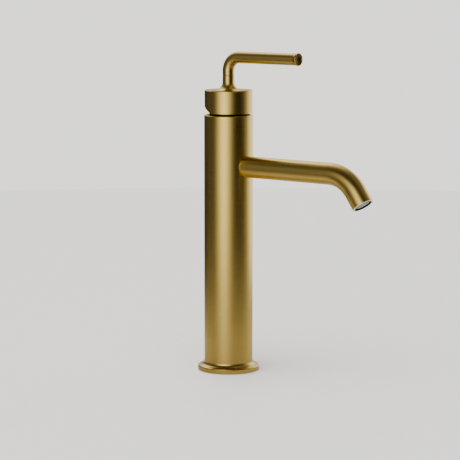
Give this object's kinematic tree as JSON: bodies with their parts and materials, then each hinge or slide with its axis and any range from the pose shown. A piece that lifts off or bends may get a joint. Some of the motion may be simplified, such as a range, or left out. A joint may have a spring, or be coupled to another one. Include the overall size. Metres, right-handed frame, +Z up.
{
  "type": "bathroom mixer faucet",
  "caption": "Tall single-lever basin mixer in brushed brass: round column, bent spout with aerator, turning and lifting lever on a ceramic cartridge, and its deck fixing.",
  "frame": {"origin": "centre of the base where it seats on the deck", "axes": "+Z up along the column, +X along the spout and the lever"},
  "size_m": [0.2025, 0.0608, 0.4356],
  "materials": {
    "brushed_brass": "fine circumferential brushing, satin",
    "satin_brass": "brushed, glossier than the column",
    "polished_brass": "polished",
    "dark_trim": "dark plated",
    "plain_brass": "as machined",
    "copper_tube": "drawn copper, plain",
    "steel": "plain stainless",
    "seal_rubber": "matt black",
    "dark_plastic": "moulded",
    "red_plastic": "moulded",
    "white_plastic": "moulded",
    "grey_plastic": "moulded",
    "ceramic_disc": "lapped alumina"
  },
  "bodies": {
    "mixer": {"aerator_housing": "polished_brass", "aerator_insert": "grey_plastic", "aerator_mesh": "steel", "aerator_seal": "seal_rubber", "base_flange": "satin_brass", "base_plug": "plain_brass", "base_seal": "seal_rubber", "cartridge_base": "dark_plastic", "cartridge_housing": "dark_plastic", "clamp_washer": "steel", "cold_riser_tube": "copper_tube", "column_shell": "brushed_brass", "cover_ring": "dark_trim", "fixed_ceramic_disc": "ceramic_disc", "flow_regulator": "white_plastic", "hot_riser_tube": "copper_tube", "jack_screws": "steel", "lock_nut": "plain_brass", "mounting_shank": "plain_brass", "port_seals": "seal_rubber", "retaining_nut": "plain_brass", "riser_o_rings": "seal_rubber", "rubber_washer": "seal_rubber", "spout_o_rings": "seal_rubber", "spout_socket": "plain_brass", "spout_tube": "brushed_brass", "temperature_limit_ring": "red_plastic", "valve_body": "plain_brass"},
    "turret": {"stem_carrier": "white_plastic"},
    "handle": {"handle_cap": "brushed_brass", "lever_rod": "brushed_brass", "lever_stud": "steel", "handle_set_screw": "steel", "set_screw_plug": "brushed_brass", "cartridge_stem": "steel", "pivot_pin": "steel"},
    "disc": {"disc_carrier": "white_plastic", "moving_ceramic_disc": "ceramic_disc"}
  },
  "joints": [
    {"name": "temperature_turn", "type": "hinge", "parent": "mixer", "child": "turret", "pos_m": [0, 0, 0.251], "axis": [0, 0, 1], "range_deg": [-50, 50]},
    {"name": "flow_tilt", "type": "hinge", "parent": "turret", "child": "handle", "pos_m": [0, 0, 0.251], "axis": [0, -1, 0], "range_deg": [0, 22]},
    {"name": "disc_slide", "type": "slide", "parent": "turret", "child": "disc", "axis": [1, 0, 0], "range_m": [0, 0.0037]}
  ],
  "couplings": [
    {"joint": "disc_slide", "follows": "flow_tilt", "m_per_rad": 0.0093}
  ]
}
